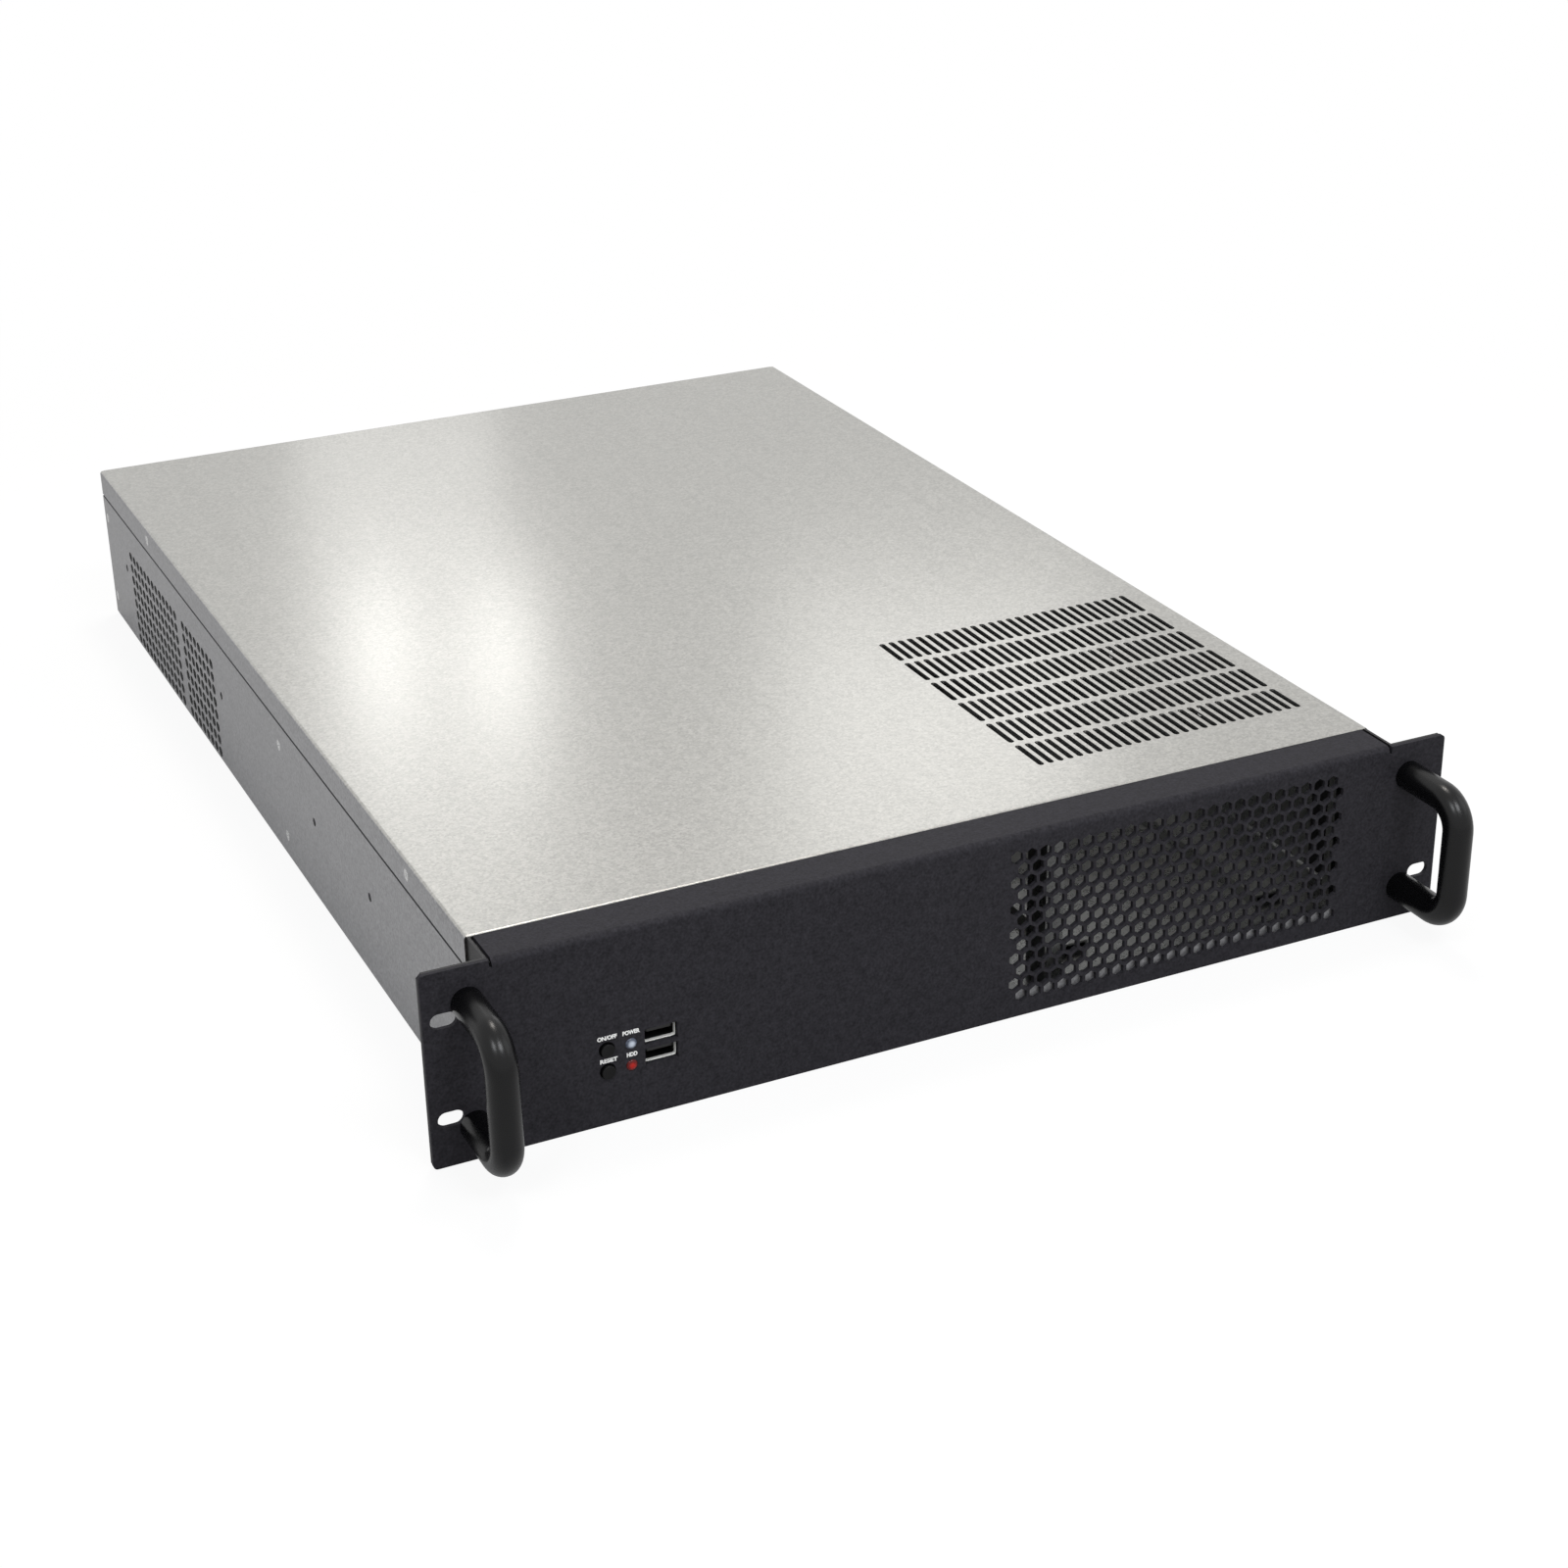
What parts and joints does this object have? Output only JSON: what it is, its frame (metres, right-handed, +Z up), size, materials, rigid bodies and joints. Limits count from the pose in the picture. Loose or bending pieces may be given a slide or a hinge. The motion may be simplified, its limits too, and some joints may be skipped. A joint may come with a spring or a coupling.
{
  "type": "rackmount server case",
  "caption": "Empty rackmount server case with a lift-off top cover, a meshed front panel with rack ears and bar handles, and a vented rear.",
  "frame": {"origin": "centre of the case's footprint, on the face that it rests on", "axes": "+X to the right seen from the front, +Y from the front panel to the rear, +Z up"},
  "size_m": [0.4826, 0.6941, 0.0879],
  "materials": {
    "case_steel": "satin, faintly grained galvanised sheet",
    "panel_black": "fine matt powder coat",
    "handle_black": "satin black",
    "bracket_black": "satin black",
    "inner_steel": "satin galvanised sheet",
    "button_black": "satin",
    "lamp_clear": "clear, faintly blue",
    "lamp_red": "translucent red",
    "board_green": "satin lacquer",
    "switch_black": "satin",
    "socket_steel": "bright plated",
    "tongue_black": "satin",
    "post_brass": "turned",
    "inlet_black": "satin"
  },
  "bodies": {
    "case": {"front_panel": "panel_black", "ear_bracket_left": "bracket_black", "ear_bracket_right": "bracket_black", "front_handles": "handle_black", "chassis_tray": "case_steel", "front_crossbar": "inner_steel", "fan_wall": "inner_steel", "drive_cage": "inner_steel", "supply_frame": "inner_steel", "supply_runners": "inner_steel", "rear_panel": "case_steel", "power_inlet": "inlet_black", "board_standoffs": "post_brass", "control_board": "board_green", "control_board_posts": "post_brass", "power_switch": "switch_black", "reset_switch": "switch_black", "power_lamp": "lamp_clear", "disk_lamp": "lamp_red", "usb_shell_upper": "socket_steel", "usb_shell_lower": "socket_steel", "usb_tongue_upper": "tongue_black", "usb_tongue_lower": "tongue_black", "slot_cover_1": "inner_steel", "slot_cover_2": "inner_steel", "slot_cover_3": "inner_steel", "slot_cover_4": "inner_steel", "slot_cover_5": "inner_steel", "slot_cover_6": "inner_steel", "slot_cover_7": "inner_steel"},
    "cover": {"top_cover": "case_steel"},
    "power_button_body": {"power_button": "button_black"},
    "reset_button_body": {"reset_button": "button_black"}
  },
  "joints": [
    {"name": "cover_lift", "type": "slide", "parent": "case", "child": "cover", "axis": [0, 0, 1], "range_m": [0, 0.12]},
    {"name": "power_press", "type": "slide", "parent": "case", "child": "power_button_body", "axis": [0, 1, 0], "range_m": [0, 0.0015], "stiffness_N_per_m": 300},
    {"name": "reset_press", "type": "slide", "parent": "case", "child": "reset_button_body", "axis": [0, 1, 0], "range_m": [0, 0.0015], "stiffness_N_per_m": 300}
  ]
}
